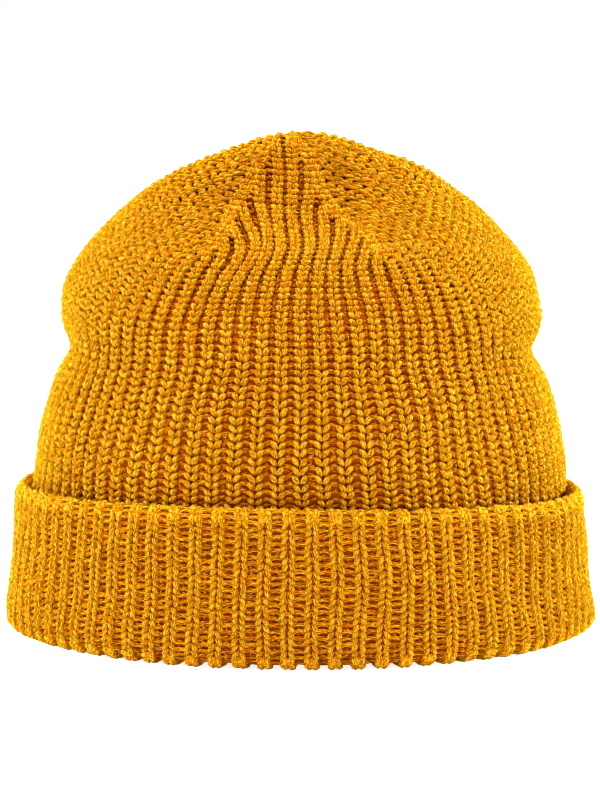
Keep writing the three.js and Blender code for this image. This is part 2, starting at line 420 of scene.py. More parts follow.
# %% [markdown]
# The cuff is the lower part of the same knitting, turned up. Its face could be a plain band, but the
# soft fold and roll are what makes it look like cloth. So its face is followed from under the bottom
# fold up the outside, over the rolled edge and a little way down inside, in steps of one course.

# %% Wales of the cuff
DEPTH_EXTRA = 6
CUFF_CREST_SIDE = 45.5
CUFF_CREST_FRONT = 48.8
CUFF_CREST_LEAN = 0.8
CUFF_COURSE_HEIGHT = 1.98
CUFF_COLUMNS = ("half_width", "rise")
CUFF_ROWS = (
    (86.0, 0.012),
    (88.6, 0.004),
    (91.2, 0.004),
    (93.9, 0.022),
    (95.2, 0.075),
    (95.4, 0.155),
    (94.0, 0.42),
    (92.9, 0.72),
    (92.2, 0.90),
    (90.9, 0.975),
    (89.3, 1.0),
    (88.1, 0.965),
    (87.6, 0.88),
    (87.5, 0.80),
)
cuff_table = dict(zip(CUFF_COLUMNS, np.array(CUFF_ROWS, float).T))
middle_crest = (CUFF_CREST_FRONT + CUFF_CREST_SIDE) / 2
cuff_steps = np.hypot(np.diff(cuff_table["half_width"]), np.diff(cuff_table["rise"]) * middle_crest)
cuff_table["course"] = np.concatenate([[0], np.cumsum(cuff_steps)]) / CUFF_COURSE_HEIGHT
cuff_waves = make_waves()


def cuff_point(course, turn):
    """Points of the cuff's outer face, in mm, from under the fold to inside the roll."""
    course, turn = np.broadcast_arrays(np.asarray(course, float), np.asarray(turn, float))
    sideways = np.sin(2 * np.pi * turn)
    forward = np.cos(2 * np.pi * turn)
    half_width = read_table(cuff_table, "half_width", course)
    half_width = half_width + SWAY_OUTWARD * sway(cuff_waves, turn, course)
    crest = CUFF_CREST_FRONT + (CUFF_CREST_SIDE - CUFF_CREST_FRONT) * sideways**2
    crest = crest - CUFF_CREST_LEAN * sideways
    rise = read_table(cuff_table, "rise", course)
    return np.stack([half_width * sideways, -(half_width + DEPTH_EXTRA) * forward, rise * crest], -1)


cuff_last_course = cuff_table["course"][-1]
cuff_levels = np.arange(0, cuff_last_course, LEVEL_STEP)
cuff_turns = np.tile(np.arange(2 * RIBS) / (2 * RIBS), (len(cuff_levels), 1))
cuff_grid = make_grid(cuff_levels, cuff_turns, cuff_point, CUFF_COURSE_HEIGHT)
print("cuff courses:", round(cuff_last_course, 1))

# %% [markdown]
# A knit stitch shows as two plump legs of yarn that lean together like a V. A whole loop could be
# drawn as a curve with a round profile, but only its legs are seen, and there are thousands of them,
# so a leg may have only a few dozen faces. It is modelled once, as a slim ball whose rings are moved
# and resized: it rises from behind the stitch below, swells and dips behind the stitch above. X runs
# across the rib, Z along it in courses, and Y is the height. A purl stitch shows as a short bar with a
# slight arch, thicker where it runs in under the legs, and is shaped in the same way. A stray fibre is
# a fine needle, open at the end that sits in the yarn.

# %% A ball shaped ring by ring
SAME_RING = 1e-3


def take_shape(model):
    """Corners, faces and map of a model, which is then removed."""
    shape = {
        "points": np.array([v.co for v in model.data.vertices]),
        "faces": [list(p.vertices) for p in model.data.polygons],
        "map": np.array([d.uv for d in model.data.uv_layers.active.data]),
    }
    print(model.name, "faces:", len(shape["faces"]))
    bpy.data.objects.remove(model)
    return shape


def shaped_ball(name, sides, stations):
    """A ball whose rings, from its lower pole up, are moved and resized one by one.
    A station is (across, along, height, radius). The map runs round and along."""
    bpy.ops.object.select_all(action="DESELECT")
    bpy.ops.mesh.primitive_uv_sphere_add(segments=sides, ring_count=len(stations) - 1, radius=1)
    ball = bpy.context.object
    ball.name = name
    levels = sorted({round(v.co.z, 4) for v in ball.data.vertices})
    members = [
        [v.index for v in ball.data.vertices if abs(v.co.z - level) < SAME_RING] for level in levels
    ]
    bpy.ops.object.mode_set(mode="EDIT")
    bpy.ops.mesh.select_mode(type="VERT")
    for ring, level, (across, along, height, radius) in zip(members, levels, stations):
        bpy.ops.mesh.select_all(action="DESELECT")
        bpy.ops.object.mode_set(mode="OBJECT")
        for index in ring:
            ball.data.vertices[index].select = True
        old_radius = max(ball.data.vertices[index].co.xy.length for index in ring)
        bpy.ops.object.mode_set(mode="EDIT")
        if radius > 0:
            scale = radius / old_radius
            bpy.ops.transform.resize(value=(scale, scale, 1), center_override=(0, 0, level))
        bpy.ops.transform.translate(value=(across, height, along - level))
    bpy.ops.object.mode_set(mode="OBJECT")
    return take_shape(ball)


print("corners are on one ring within", SAME_RING)

# %% The legs, the purl bars and the stray fibre
LEG_SIDES = 6
BAR_SIDES = 5
FIBRE_SIDES = 3
CROWN_LEG = (
    (-0.15, -0.60, -2.3, 0),
    (-0.06, -0.36, -1.40, 0.92),
    (0.03, -0.04, -1.02, 1.20),
    (0.04, 0.27, -1.05, 1.14),
    (0.0, 0.55, -1.55, 0.80),
    (-0.05, 0.80, -2.6, 0),
)
CUFF_LEG = (
    (-0.05, -0.84, -2.0, 0),
    (0.0, -0.52, -1.15, 0.70),
    (0.02, -0.18, -0.95, 0.98),
    (0.02, 0.18, -0.95, 0.98),
    (0.0, 0.52, -1.15, 0.70),
    (-0.05, 0.80, -2.0, 0),
)
FOLD_LEG = (
    (0, -0.95, -2.0, 0),
    (0, -0.60, -1.25, 1.14),
    (0, -0.20, -1.04, 1.38),
    (0, 0.22, -1.04, 1.38),
    (0, 0.58, -1.25, 1.14),
    (0, 0.90, -2.0, 0),
)
CROWN_BAR = (
    (-0.5, -1.0, -1.0, 0),
    (-0.12, -0.58, -0.15, 1.05),
    (0.08, 0.0, 0.10, 0.92),
    (-0.12, 0.58, -0.15, 1.05),
    (-0.5, 1.0, -1.0, 0),
)
CUFF_BAR = (
    (-0.95, -1.0, -0.75, 0),
    (-0.25, -0.60, -0.10, 1.22),
    (0.12, 0.0, 0.15, 0.78),
    (-0.25, 0.60, -0.10, 1.22),
    (-0.95, 1.0, -0.75, 0),
)
crown_leg = shaped_ball("crown_leg", LEG_SIDES, CROWN_LEG)
cuff_leg = shaped_ball("cuff_leg", LEG_SIDES, CUFF_LEG)
fold_leg = shaped_ball("fold_leg", LEG_SIDES, FOLD_LEG)
crown_bar = shaped_ball("crown_bar", BAR_SIDES, CROWN_BAR)
cuff_bar = shaped_ball("cuff_bar", BAR_SIDES, CUFF_BAR)
bpy.ops.object.select_all(action="DESELECT")
bpy.ops.mesh.primitive_cone_add(vertices=FIBRE_SIDES, radius1=1, depth=2, end_fill_type="NOTHING")
bpy.context.object.name = "stray_fibre"
stray_fibre = take_shape(bpy.context.object)

# %% [markdown]
# Laying stitches is one job for the crown and the cuff: copies of a shape are put at many places of a
# grid of wales. An array or instances could repeat the shape, but they would stay stiff, while a real
# stitch bends with the fabric. So each corner of each copy is read from the grid. A little scatter in
# place, lean and length keeps the knitting from looking made by a machine.

# %% Laying stitches on a grid of wales
DEEPEST = -2.6
SCATTER_ACROSS = 0.10
SCATTER_ALONG = 0.04
SCATTER_HEIGHT = 0.11
SCATTER_LENGTH = 0.08
SCATTER_LEAN = 0.14
SCATTER_TILT = 0.15
TONE_MIDDLE = 0.5
TONE_SPREAD = 0.17
HIGHEST_RELIEF = 1.2
LAST_LEVEL_MARGIN = 1.001


def scatter(count, spread):
    """A column of random numbers round zero, one for each copy."""
    return random.normal(0, spread, (count, 1))


def lay_legs(shape, grid, stitches, mirror=False):
    """Legs on a grid, from their wale, course, place off the rib's middle, lean, thickness, length."""
    wale, course, apart, lean, thickness, length = np.array(stitches, float).T[:, :, None]
    corner_across, corner_height, corner_along = shape["points"].T[:, None, :]
    lean = lean + scatter(len(wale), SCATTER_LEAN)
    across = corner_across * thickness + apart + lean * corner_along
    across = -across if mirror else across
    height = corner_height * thickness
    return lay(shape, grid, wale, course + corner_along * length, across, height, mirror)


def both_legs(shape, grid, stitches):
    """The left and the right legs of the same stitches."""
    return [lay_legs(shape, grid, stitches), lay_legs(shape, grid, stitches, mirror=True)]


def lay_bars(shape, grid, stitches):
    """Bars on a grid, from their wale, course, half length, height, half thickness in courses."""
    wale, course, half_length, height_shift, thickness = np.array(stitches, float).T[:, :, None]
    corner_across, corner_height, corner_along = shape["points"].T[:, None, :]
    across = corner_along * half_length * (1 + scatter(len(wale), SCATTER_LENGTH))
    along = corner_across * thickness + scatter(len(wale), SCATTER_TILT) * corner_along
    height = corner_height * thickness * grid["course_height"] + height_shift
    return lay(shape, grid, wale, course + along, across, height)


def lay(shape, grid, wale, course, across, height, mirror=False):
    """Copies of a shape at their places, each a little off, with every corner's tone and relief."""
    count, corner_count = len(wale), len(shape["points"])
    across = across + scatter(count, SCATTER_ACROSS)
    height = height + scatter(count, SCATTER_HEIGHT)
    level = (course + scatter(count, SCATTER_ALONG) - grid["levels"][0]) / LEVEL_STEP
    level = np.clip(level, 0, len(grid["levels"]) - LAST_LEVEL_MARGIN)
    low = level.astype(int)
    part = (level - low)[..., None]
    column = np.repeat(wale.astype(int), corner_count, 1)

    def between(name):
        """The grid's values at the corners, between two of its levels."""
        return grid[name][low, column] * (1 - part) + grid[name][low + 1, column] * part

    place = between("point") + between("across") * across[..., None]
    place = place + between("outward") * height[..., None]
    tone = np.repeat(TONE_MIDDLE + scatter(count, TONE_SPREAD), corner_count, 1)
    # The relief, how high a corner lies, later darkens the wool's colour as painted shade where it is
    # low.
    relief = np.clip(1 - height / DEEPEST, 0, HIGHEST_RELIEF)
    return {"shape": shape, "place": place, "tone": tone, "relief": relief, "mirror": mirror}


print("relief goes from 1 at the surface to 0 at", DEEPEST, "mm")

# %% [markdown]
# All copies of a piece become one mesh. Thousands of objects could be joined with an operator, but
# that takes minutes, and writing the corners and faces as whole lists takes a moment. Four things are
# written on the yarn for the material: a tone for each stitch, how deep in the fabric a corner lies, a
# map round and along the strand, and a second map in which every stitch has a small square of its own.

# %% One mesh from many stitches
SQUARE_MARGIN = 0.08


def facing_out(layer):
    """The faces and the map of a layer's shape. Mirrored copies have both turned round."""
    faces, yarn_map = layer["shape"]["faces"], layer["shape"]["map"]
    if not layer["mirror"]:
        return faces, yarn_map
    starts = np.cumsum([0] + [len(face) for face in faces])
    turned = np.concatenate([yarn_map[a:b][::-1] for a, b in zip(starts[:-1], starts[1:])])
    return [face[::-1] for face in faces], np.stack([1 - turned[:, 0], turned[:, 1]], -1)


def own_squares(shape_map, first, count, squares):
    """The map of a shape, once for each copy, each in its own square of the map."""
    number = first + np.arange(count)
    square = np.stack([number % squares, number // squares], -1)[:, None, :]
    inside = SQUARE_MARGIN + (1 - 2 * SQUARE_MARGIN) * np.clip(shape_map, 0, 1)
    return ((square + inside[None]) / squares).reshape(-1, 2)


def faces_mesh(name, corners, loops, sizes):
    """A smooth mesh from its corners, the corners of its faces, and how many each face has."""
    mesh = bpy.data.meshes.new(name)
    mesh.vertices.add(len(corners))
    mesh.vertices.foreach_set("co", corners.astype(np.float32).ravel())
    mesh.loops.add(len(loops))
    mesh.loops.foreach_set("vertex_index", loops.astype(np.int32))
    mesh.polygons.add(len(sizes))
    mesh.polygons.foreach_set("loop_start", (np.cumsum(sizes) - sizes).astype(np.int32))
    mesh.polygons.foreach_set("loop_total", sizes.astype(np.int32))
    mesh.update(calc_edges=True)
    mesh.polygons.foreach_set("use_smooth", np.ones(len(sizes), bool))
    return mesh


def knit_mesh(name, layers):
    """One piece from all the laid copies, with its attributes and its two maps."""
    corners, loops, sizes, yarn_map, own_map = [], [], [], [], []
    squares = math.ceil(math.sqrt(sum(len(layer["place"]) for layer in layers)))
    first_corner = 0
    first_copy = 0
    for layer in layers:
        faces, shape_map = facing_out(layer)
        count, corner_count = layer["place"].shape[:2]
        starts = first_corner + corner_count * np.arange(count)
        corners.append(layer["place"].reshape(-1, 3) * MM)
        loops.append((np.concatenate(faces)[None, :] + starts[:, None]).ravel())
        sizes.append(np.tile([len(face) for face in faces], count))
        yarn_map.append(np.tile(shape_map, (count, 1)))
        own_map.append(own_squares(shape_map, first_copy, count, squares))
        first_corner += corner_count * count
        first_copy += count
    sizes = np.concatenate(sizes)
    mesh = faces_mesh(name, np.concatenate(corners), np.concatenate(loops), sizes)
    for map_name, values in (("Yarn", yarn_map), ("OFBake", own_map)):
        layer_map = mesh.uv_layers.new(name=map_name)
        layer_map.data.foreach_set("uv", np.concatenate(values).astype(np.float32).ravel())
    for value_name in ("tone", "relief"):
        values = np.concatenate([layer[value_name].ravel() for layer in layers])
        attribute = mesh.attributes.new(value_name, "FLOAT", "POINT")
        attribute.data.foreach_set("value", values.astype(np.float32))
    piece = bpy.data.objects.new(name, mesh)
    bpy.context.scene.collection.objects.link(piece)
    print(name, "triangles:", int((sizes - 2).sum()))
    return piece


print("a stitch fills its square up to a margin of", SQUARE_MARGIN)

# %% [markdown]
# The crown could be one mesh, but it is laid panel by panel, as the four darts divide it, so that no
# piece gets too heavy. In every row a knit wale gets two legs and a purl wale gets a bar that runs in
# under the legs on both sides. The ribs draw together towards the shoulder, so the legs move closer
# and the bars sink out of sight between them. Where the fabric is hardly stretched, at the hat's two
# sides and on the side panels above, the bars come up and fill the valleys. Above the shoulder a row
# of plump legs covers each dart. At the tip the rows lie closer together and the legs stand
# straighter.

# %% Rows of stitches on the crown
CROWN_FIRST_COURSE = -4
CROWN_LAST_COURSE = 54
CLOSE_ROWS_COURSE = 44
CLOSE_ROW_HEIGHT = 0.78
crown_rows = list(range(CROWN_FIRST_COURSE, CLOSE_ROWS_COURSE))
crown_rows += list(np.arange(CLOSE_ROWS_COURSE, CROWN_LAST_COURSE + 0.5, CLOSE_ROW_HEIGHT))
print("rows of stitches on the crown:", len(crown_rows))

# %% Heights of the crown's bars
WIDE_RIB = 7.1
NARROW_RIB = 4.6
BAR_SINK_RIBS = (5.3, 6.2)
BAR_HEIGHTS = (-2.9, -2.05)
DART_BAR_HEIGHT = -1.1
PACKED_COURSES = (14, 28)
PACKED_FROM = (0.88, 0.3)
PACKED_FULL = (1.0, 0.65)
PACKED_PANEL_COURSES = (DART_COURSE - 6, DART_COURSE)
PACKED_PANEL = 0.85
PACKED_BAR_HEIGHT = -0.95


def by_rib_width(course, values):
    """A value that goes from the narrow ribs' to the wide ribs'."""
    return np.interp(np.interp(course, crown_levels, rib_width), (NARROW_RIB, WIDE_RIB), values)


def crown_bar_height(course, level, w):
    """How a purl bar lies: sunk between narrow ribs, and raised where the fabric is packed."""
    sideways = abs(math.sin(2 * math.pi * wale_turn[level, w]))
    packed_from = np.interp(course, PACKED_COURSES, PACKED_FROM)
    packed_full = np.interp(course, PACKED_COURSES, PACKED_FULL)
    packed = np.interp(sideways, (packed_from, packed_full), (0, 1))
    if crown_wales[w][0] % 2 == 1:
        packed = max(packed, np.interp(course, PACKED_PANEL_COURSES, (0, PACKED_PANEL)))
    height = np.interp(np.interp(course, crown_levels, rib_width), BAR_SINK_RIBS, BAR_HEIGHTS)
    height = height + packed * (PACKED_BAR_HEIGHT - height)
    if course > DART_COURSE:
        height = np.interp(wale_room[level, w], (1, 2), (DART_BAR_HEIGHT, height))
    return height


print("bars lie from", BAR_HEIGHTS[0], "to", PACKED_BAR_HEIGHT, "mm below the surface")

# %% Crown panels
LEGS_APART = (0.77, 1.15)
LEG_LEANS = (0.58, 1.0)
LEG_THICKNESSES = (0.87, 0.92)
TIP_LEG_LEAN = 0.3
TIP_LEG_THICKNESS = 0.95
TIP_FADE_COURSES = (36, 44)
DART_LEGS_APART = 1.0
DART_LEG_THICKNESS = 1.25
BAR_LENGTHS = (1.1, 2.1)
BAR_THICKNESS = 0.35
PANEL_NAMES = ("front", "left", "back", "right")


def crown_panel(panel):
    """The legs and bars of the wales between two darts, row by row."""
    legs, bars = [], []
    for w, (wale_panel, number, kind) in enumerate(crown_wales):
        if wale_panel != panel:
            continue
        for course in crown_rows:
            row_height = 1 if course < CLOSE_ROWS_COURSE else CLOSE_ROW_HEIGHT
            level = int(round((course - FIRST_LEVEL) / LEVEL_STEP))
            if not wale_alive[level, w]:
                continue
            leans = (by_rib_width(course, LEG_LEANS), TIP_LEG_LEAN)
            thicknesses = (by_rib_width(course, LEG_THICKNESSES), TIP_LEG_THICKNESS)
            lean = np.interp(course, TIP_FADE_COURSES, leans)
            thickness = np.interp(course, TIP_FADE_COURSES, thicknesses)
            if kind == "knit":
                legs.append((w, course, by_rib_width(course, LEGS_APART), lean, thickness, row_height))
            elif kind == "dart" and course > DART_COURSE:
                legs.append((w, course, DART_LEGS_APART, lean, DART_LEG_THICKNESS, row_height))
            else:
                middle = course + row_height / 2
                length = by_rib_width(course, BAR_LENGTHS)
                height = crown_bar_height(course, level, w)
                bars.append((w, middle, length, height, BAR_THICKNESS * row_height))
    layers = both_legs(crown_leg, crown_grid, legs) + [lay_bars(crown_bar, crown_grid, bars)]
    return knit_mesh("crown_panel_" + PANEL_NAMES[panel], layers)


crown_panels = [crown_panel(panel) for panel in range(4)]

# %% [markdown]
# The cuff shows the other side of the ribbing, pulled wide, so its legs are slimmer and stand in two
# upright lines, and the bars between them cross an open ladder. The crown's legs and bars could be
# used again, but they would close this ladder, so the cuff has its own. Where it folds at the bottom
# and rolls over at the top, the yarn bunches up: the legs are plump there, and the bars sink in the
# fold and come up in the roll.

# %% Cuff stitches
CUFF_FIRST_COURSE = 1
CUFF_FOLD_COURSES = 5.6
CUFF_ROLL_COURSES = 2.2
CUFF_LEGS_APART = 1.18
CUFF_LEG_LEAN = -0.8
CUFF_LEG_THICKNESS = 0.96
FOLD_LEGS_APART = 0.95
CUFF_BAR_LENGTH = 3.6
CUFF_BAR_HEIGHT = -1.85
CUFF_BAR_FOLD_HEIGHT = -2.1
CUFF_BAR_ROLL_HEIGHT = -0.9
CUFF_BAR_THICKNESS = 0.42
AFTER_FOLD = 1.5
BEFORE_ROLL = 4
cuff_crest_course = cuff_table["course"][np.argmax(cuff_table["rise"])]
BAR_STEP_COURSES = (
    CUFF_FOLD_COURSES,
    CUFF_FOLD_COURSES + AFTER_FOLD,
    cuff_crest_course - BEFORE_ROLL,
    cuff_crest_course,
)
BAR_STEP_HEIGHTS = (CUFF_BAR_FOLD_HEIGHT, CUFF_BAR_HEIGHT, CUFF_BAR_HEIGHT, CUFF_BAR_ROLL_HEIGHT)


def cuff_part(name, wales):
    """The legs and bars of some of the cuff's wales, from the fold to inside the roll."""
    legs, plump_legs, bars = [], [], []
    for w in wales:
        for course in range(CUFF_FIRST_COURSE, int(cuff_last_course)):
            at_fold = course < CUFF_FOLD_COURSES
            at_roll = abs(course - cuff_crest_course) < CUFF_ROLL_COURSES
            if w % 2 == 1:
                if at_fold or at_roll:
                    plump_legs.append((w, course, FOLD_LEGS_APART, 0, 1, 1))
                else:
                    legs.append((w, course, CUFF_LEGS_APART, CUFF_LEG_LEAN, CUFF_LEG_THICKNESS, 1))
            else:
                height = np.interp(course + 0.5, BAR_STEP_COURSES, BAR_STEP_HEIGHTS)
                bars.append((w, course + 0.5, CUFF_BAR_LENGTH, height, CUFF_BAR_THICKNESS))
    layers = both_legs(cuff_leg, cuff_grid, legs) + both_legs(fold_leg, cuff_grid, plump_legs)
    return knit_mesh(name, layers + [lay_bars(cuff_bar, cuff_grid, bars)])


front_wales = [w for w in range(2 * RIBS) if w < RIBS // 2 or w >= 2 * RIBS - RIBS // 2]
back_wales = [w for w in range(2 * RIBS) if w not in front_wales]
cuff_parts = [cuff_part("cuff_knit_front", front_wales), cuff_part("cuff_knit_back", back_wales)]

# %% [markdown]
# Wool is never smooth: fine stray fibres lie over the stitches in every direction. Hair particles
# could draw them, but they are no mesh, so fine needles are laid on the grids instead, at random
# places. None lie where the cuff hides the crown, and all stay close to the yarn, so that the outline
# keeps clean.

# %% Stray fibres
CROWN_FIBRES = 12000
CUFF_FIBRES = 8000
FIBRE_HALF_LENGTHS = (0.4, 1.1)
FIBRE_RADIUS = 0.1
FIBRE_HEIGHTS = (-0.55, -0.1)
FIBRE_RISE = 0.45


def stray_fibres(name, grid, alive, courses, count):
    """Fibres at random places between two courses, each with its own direction, length and height."""
    low, high = [int((course - grid["levels"][0]) / LEVEL_STEP) for course in courses]
    levels, wales = np.nonzero(alive[low:high])
    picked = random.choice(len(levels), count)
    course = grid["levels"][low + levels[picked]][:, None]
    wale = wales[picked][:, None]
    angle = random.uniform(0, 2 * math.pi, (count, 1))
    half_length = random.uniform(*FIBRE_HALF_LENGTHS, (count, 1))
    corner_across, corner_height, corner_along = stray_fibre["points"].T[:, None, :]
    run, width = corner_along * half_length, corner_across * FIBRE_RADIUS
    across = run * np.cos(angle) - width * np.sin(angle)
    along = (run * np.sin(angle) + width * np.cos(angle)) / grid["course_height"]
    height = corner_height * FIBRE_RADIUS + corner_along * FIBRE_RISE
    height = height + random.uniform(*FIBRE_HEIGHTS, (count, 1))
    return knit_mesh(name, [lay(stray_fibre, grid, wale, course + along, across, height)])


cuff_alive = np.ones(cuff_turns.shape, bool)
crown_seen = (0, CROWN_LAST_COURSE)
cuff_seen = (CUFF_FOLD_COURSES, cuff_crest_course)
crown_fibres = stray_fibres("crown_stray_fibres", crown_grid, wale_alive, crown_seen, CROWN_FIBRES)
cuff_fibres = stray_fibres("cuff_stray_fibres", cuff_grid, cuff_alive, cuff_seen, CUFF_FIBRES)

# %% [markdown]
# Behind the visible loops lies the rest of the fabric. A second layer of stitches could show it, but
# it is only glimpsed in the gaps and on the inside. So it starts as a flat grid with a column for each
# wale, which is rolled into a tube, laid on the hat's surface a little below the stitches, and
# thickened inwards. It stops light from shining through, and its ribs show on the inside.

# %% The fabric behind the stitches
BACK_COLUMNS = 2 * RIBS
BACK_THICKNESS = 0.9
CROWN_HEM_COURSE = -19.6
CROWN_BACK_ROWS = 70
CROWN_BACK_COURSES = (DART_COURSE - 9, DART_COURSE - 1, TOP_COURSE - 5, TOP_COURSE)
CROWN_RIDGE_DEPTHS = (2.0, 2.9, 2.9, 2.4)
CROWN_VALLEY_DEPTHS = (2.45, 2.9, 2.9, 2.4)
CUFF_BACK_ROWS = 36
CUFF_BACK_COURSES = (
    CUFF_FOLD_COURSES - 2,
    CUFF_FOLD_COURSES + AFTER_FOLD,
    cuff_crest_course - 5,
    cuff_crest_course - 1,
)
CUFF_RIDGE_DEPTH = 2.0
CUFF_VALLEY_DEPTHS = (3.2, 3.0, 3.0, 1.9)
TOP_HOLE_REACH = 4
MERGE_DISTANCE = 0.001


def sunk_surface(surface, course, turn, depth):
    """Points below a surface by a depth, in metres."""
    outward = directions(surface, course, turn)[1]
    return (surface(course, turn) - outward * depth[:, None]) * MM


def rolled_fabric(name, rows, place):
    """A flat grid rolled round the hat, closed where it meets itself."""
    bpy.ops.object.select_all(action="DESELECT")
    bpy.ops.mesh.primitive_grid_add(x_subdivisions=BACK_COLUMNS, y_subdivisions=rows, size=1)
    piece = bpy.context.object
    piece.name = name
    flat = np.array([v.co for v in piece.data.vertices])
    column = np.round((flat[:, 0] + 0.5) * BACK_COLUMNS).astype(int) % BACK_COLUMNS
    rolled = place(column, flat[:, 1] + 0.5)
    piece.data.vertices.foreach_set("co", rolled.astype(np.float32).ravel())
    bpy.ops.object.mode_set(mode="EDIT")
    bpy.ops.mesh.select_all(action="SELECT")
    bpy.ops.mesh.remove_doubles(threshold=MERGE_DISTANCE * MM)
    bpy.ops.mesh.normals_make_consistent(inside=False)
    bpy.ops.object.mode_set(mode="OBJECT")
    return piece


def close_top(piece):
    """Fills the small hole that the last course leaves at the tip."""
    top = max(v.co.z for v in piece.data.vertices)
    bpy.ops.object.mode_set(mode="EDIT")
    bpy.ops.mesh.select_mode(type="EDGE")
    bpy.ops.mesh.select_all(action="DESELECT")
    bpy.ops.mesh.select_non_manifold()
    bpy.ops.object.mode_set(mode="OBJECT")
    for edge in piece.data.edges:
        if piece.data.vertices[edge.vertices[0]].co.z < top - TOP_HOLE_REACH * MM:
            edge.select = False
    bpy.ops.object.mode_set(mode="EDIT")
    bpy.ops.mesh.edge_face_add()
    bpy.ops.mesh.poke()
    bpy.ops.mesh.select_all(action="SELECT")
    bpy.ops.mesh.normals_make_consistent(inside=False)
    bpy.ops.object.mode_set(mode="OBJECT")


def thicken(piece):
    """Gives the rolled fabric its wall, inwards from its face."""
    wall = piece.modifiers.new("wall", "SOLIDIFY")
    wall.thickness = BACK_THICKNESS * MM
    wall.offset = -1
    bpy.ops.object.modifier_apply(modifier=wall.name)
    bpy.ops.object.shade_smooth()
    print(piece.name, "faces:", len(piece.data.polygons))


def crown_back_place(column, row_share):
    """Points of the crown's back, from the hidden hem to the tip, with ridges behind the knit wales."""
    course = CROWN_HEM_COURSE + row_share * (LAST_LEVEL - CROWN_HEM_COURSE)
    ridge = np.interp(course, CROWN_BACK_COURSES, CROWN_RIDGE_DEPTHS)
    valley = np.interp(course, CROWN_BACK_COURSES, CROWN_VALLEY_DEPTHS)
    depth = np.where(column % 2 == 0, ridge, valley)
    return sunk_surface(crown_point, course, column / BACK_COLUMNS, depth)


def cuff_back_place(column, row_share):
    """Points of the cuff's back, where the ridges and valleys are swapped."""
    course = row_share * cuff_last_course
    valley = np.interp(course, CUFF_BACK_COURSES, CUFF_VALLEY_DEPTHS)
    depth = np.where(column % 2 == 1, CUFF_RIDGE_DEPTH, valley)
    return sunk_surface(cuff_point, course, column / BACK_COLUMNS, depth)


crown_back = rolled_fabric("crown_fabric_back", CROWN_BACK_ROWS, crown_back_place)
close_top(crown_back)
thicken(crown_back)
cuff_back = rolled_fabric("cuff_fabric_back", CUFF_BACK_ROWS, cuff_back_place)
thicken(cuff_back)

# %% [markdown]
# The wool is a matt amber yellow. A picture of wool could be laid on the stitches, but worked-out
# patterns stay sharp and follow each strand. Three effects are shader groups, as both finishes use
# them. The first is the twist of the yarn: ridges that wind round the strand. The second is the run of
# fibres along the strand, as drawn-out noise that differs from stitch to stitch. The third mixes the
# colour: the amber dye, darkened to a reddish brown as painted shade deep between the loops and in the
# twist's grooves, and lifted to a pale painted highlight on the brightest fibres on top, while the
# fibres and the tone drift it.

# %% Tools for nodes
FLOAT, COLOR, VECTOR = "NodeSocketFloat", "NodeSocketColor", "NodeSocketVector"


def new_group(name, inputs, outputs):
    """A group, and the two nodes inside it that stand for its inputs and outputs."""
    group = bpy.data.node_groups.new(name, "ShaderNodeTree")
    for socket_name, kind, value in inputs:
        socket = group.interface.new_socket(socket_name, in_out="INPUT", socket_type=kind)
        socket.default_value = value
    for socket_name, kind in outputs:
        group.interface.new_socket(socket_name, in_out="OUTPUT", socket_type=kind)
    return group, group.nodes.new("NodeGroupInput"), group.nodes.new("NodeGroupOutput")


def feed(tree, socket, value):
    """Sets a number on a socket, or links another node's output to it."""
    if isinstance(value, (int, float)):
        socket.default_value = value
    else:
        tree.links.new(value, socket)


def math_node(tree, operation, first, second=0.0):
    """A sum, product or the like of two values, or of one."""
    node = tree.nodes.new("ShaderNodeMath")
    node.operation = operation
    feed(tree, node.inputs[0], first)
    feed(tree, node.inputs[1], second)
    return node.outputs[0]


def ranged(tree, value, from_range, to_range=(0, 1), interpolation="LINEAR"):
    """A value moved from one range to another, and held inside it."""
    node = tree.nodes.new("ShaderNodeMapRange")
    node.interpolation_type = interpolation
    tree.links.new(value, node.inputs["Value"])
    for socket_name, number in zip(("From Min", "From Max", "To Min", "To Max"), from_range + to_range):
        node.inputs[socket_name].default_value = number
    return node.outputs[0]


def color_ramp(tree, value, stops):
    """The colour at a value between stops, each a place and a colour."""
    ramp = tree.nodes.new("ShaderNodeValToRGB")
    for element, (place, color) in zip(ramp.color_ramp.elements, (stops[0], stops[-1])):
        element.position = place
        element.color = color
    for place, color in stops[1:-1]:
        ramp.color_ramp.elements.new(place).color = color
    tree.links.new(value, ramp.inputs["Fac"])
    return ramp.outputs["Color"]


print("socket kinds:", FLOAT, COLOR, VECTOR)

# %% Group: ply twist
twist, twist_in, twist_out = new_group(
    "Ply twist",
    (("Map", VECTOR, (0, 0, 0)), ("Plies", FLOAT, 2.0), ("Turns", FLOAT, 1.0), ("Shift", FLOAT, 0.0)),
    (("Height", FLOAT),),
)
parts = twist.nodes.new("ShaderNodeSeparateXYZ")
twist.links.new(twist_in.outputs["Map"], parts.inputs[0])
round_part = math_node(twist, "MULTIPLY", parts.outputs["X"], twist_in.outputs["Plies"])
along_part = math_node(twist, "MULTIPLY", parts.outputs["Y"], twist_in.outputs["Turns"])
strand_place = math_node(twist, "ADD", round_part, along_part)
strand_place = math_node(twist, "ADD", strand_place, twist_in.outputs["Shift"])
phase = math_node(twist, "MULTIPLY", strand_place, math.pi)
ridge = math_node(twist, "ABSOLUTE", math_node(twist, "SINE", phase))
twist.links.new(ridge, twist_out.inputs["Height"])
print("group:", twist.name)

